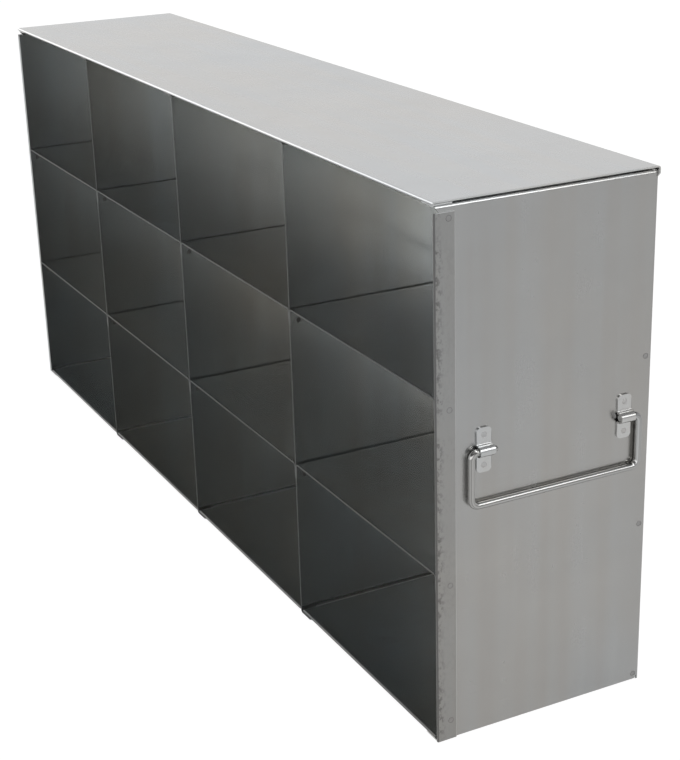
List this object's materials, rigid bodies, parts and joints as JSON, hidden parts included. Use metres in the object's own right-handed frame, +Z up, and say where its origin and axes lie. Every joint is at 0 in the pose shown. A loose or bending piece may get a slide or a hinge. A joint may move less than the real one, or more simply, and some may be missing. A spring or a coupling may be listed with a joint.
{
  "type": "freezer storage rack",
  "caption": "Side-access sheet-metal freezer rack: an open-fronted grid of twelve compartments with a folding wire handle on one end, for sliding sample boxes in and out.",
  "frame": {"origin": "centre of the whole rack's footprint, in the plane it rests on", "axes": "+Z up; +Y along the rack, away from the handle; the compartments open towards -X and their back is at +X"},
  "size_m": [0.14, 0.7018, 0.311],
  "materials": {
    "panel_steel": "fine mill finish, faintly mottled, satin",
    "cap_steel": "fine mill finish, satin",
    "bay_steel": "fine mill finish, half gloss",
    "clip_steel": "bright rolled strip with rounded edges",
    "rod_steel": "bright drawn wire, polished by use"
  },
  "bodies": {
    "frame": {"end_wrap": "panel_steel", "top_cap": "cap_steel", "divider_1": "bay_steel", "divider_2": "bay_steel", "divider_3": "bay_steel", "shelf_upper_1": "bay_steel", "shelf_upper_2": "bay_steel", "shelf_upper_3": "bay_steel", "shelf_upper_4": "bay_steel", "shelf_lower_1": "bay_steel", "shelf_lower_2": "bay_steel", "shelf_lower_3": "bay_steel", "shelf_lower_4": "bay_steel", "floor_1": "bay_steel", "floor_2": "bay_steel", "floor_3": "bay_steel", "floor_4": "bay_steel", "handle_clip_left": "clip_steel", "handle_clip_right": "clip_steel"},
    "handle": {"handle_bail": "rod_steel"}
  },
  "joints": [
    {"name": "handle_swing", "type": "hinge", "parent": "frame", "child": "handle", "pos_m": [-0.04035, -0.3478, 0.1725], "axis": [-1, 0, 0], "range_deg": [0, 180]}
  ]
}
